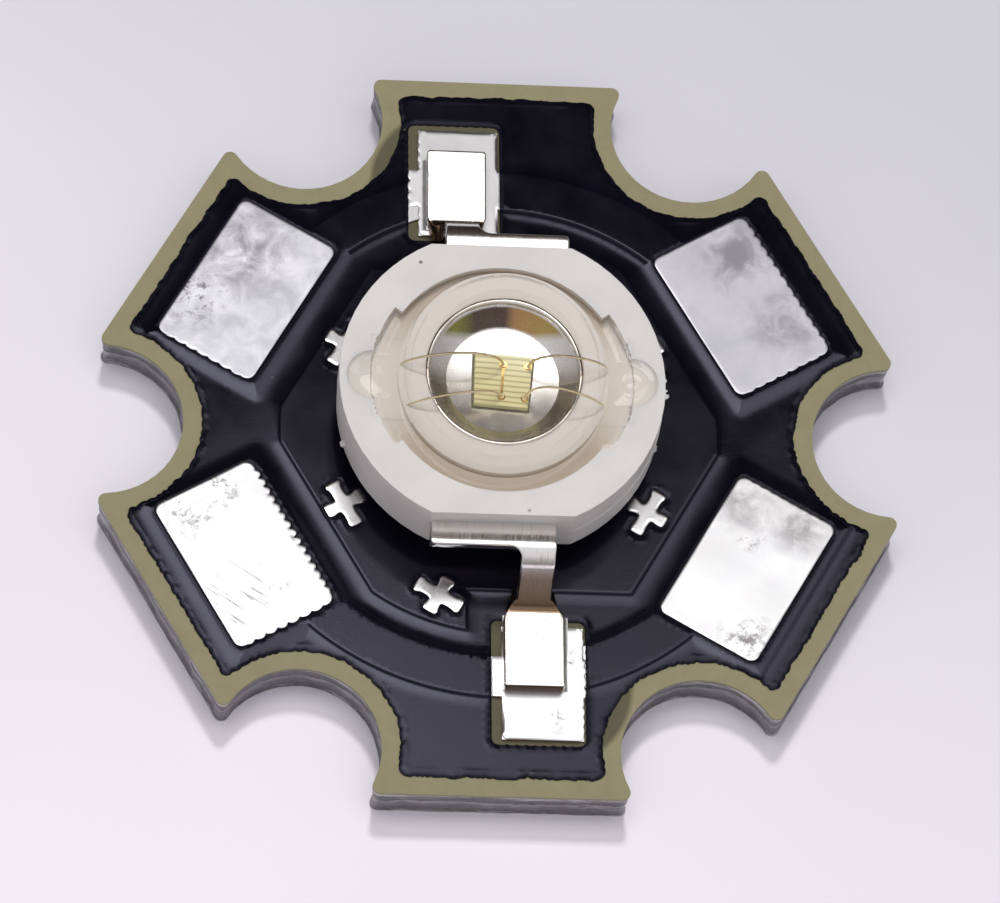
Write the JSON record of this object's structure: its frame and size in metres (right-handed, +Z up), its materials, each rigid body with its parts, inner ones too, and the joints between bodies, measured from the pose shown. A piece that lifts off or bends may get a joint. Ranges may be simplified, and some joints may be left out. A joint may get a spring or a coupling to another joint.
{
  "type": "star pcb power led",
  "caption": "Star-shaped aluminium-core board carrying a domed power light-emitting diode, with tinned wire pads and half-round screw notches.",
  "frame": {"origin": "centre of the board's underside", "axes": "+Z up out of the lens, +Y to the rear along a bare arm, +X to the right through a screw notch"},
  "size_m": [0.0204, 0.02, 0.0066],
  "materials": {
    "aluminium": "punched plate with dull sheared sides",
    "dielectric": "dull olive insulating layer",
    "copper": "rolled copper foil",
    "mask": "satin black solder mask",
    "tin": "levelled tin, lightly scratched",
    "solder": "reflowed solder",
    "silvered_copper": "bright silver plate on copper",
    "white_plastic": "moulded warm white plastic",
    "plated_lead": "bright plated strip",
    "clear_lens": "clear moulded dome",
    "clear_gel": "clear soft gel",
    "chip": "polished crystal with fine lines",
    "gold": "drawn gold"
  },
  "bodies": {
    "root": {"aluminium_base": "aluminium", "dielectric_layer": "dielectric", "heat_plane": "copper", "front_trace": "copper", "rear_trace": "copper", "solder_mask": "mask", "tin_front_left": "tin", "tin_front_right": "tin", "tin_rear_left": "tin", "tin_rear_right": "tin", "tin_front_lead": "tin", "tin_rear_lead": "tin", "tin_crosses": "tin", "tin_slug_pad": "tin", "front_solder": "solder", "rear_solder": "solder", "slug_solder": "solder", "heat_slug": "silvered_copper", "body_frame": "white_plastic", "front_lead": "plated_lead", "rear_lead": "plated_lead", "lens": "clear_lens", "silicone_gel": "clear_gel", "die_attach": "solder", "led_chip": "chip", "chip_electrodes": "gold", "wire_rear_left": "gold", "wire_front_left": "gold", "wire_rear_right": "gold", "wire_front_right": "gold"}
  },
  "joints": []
}
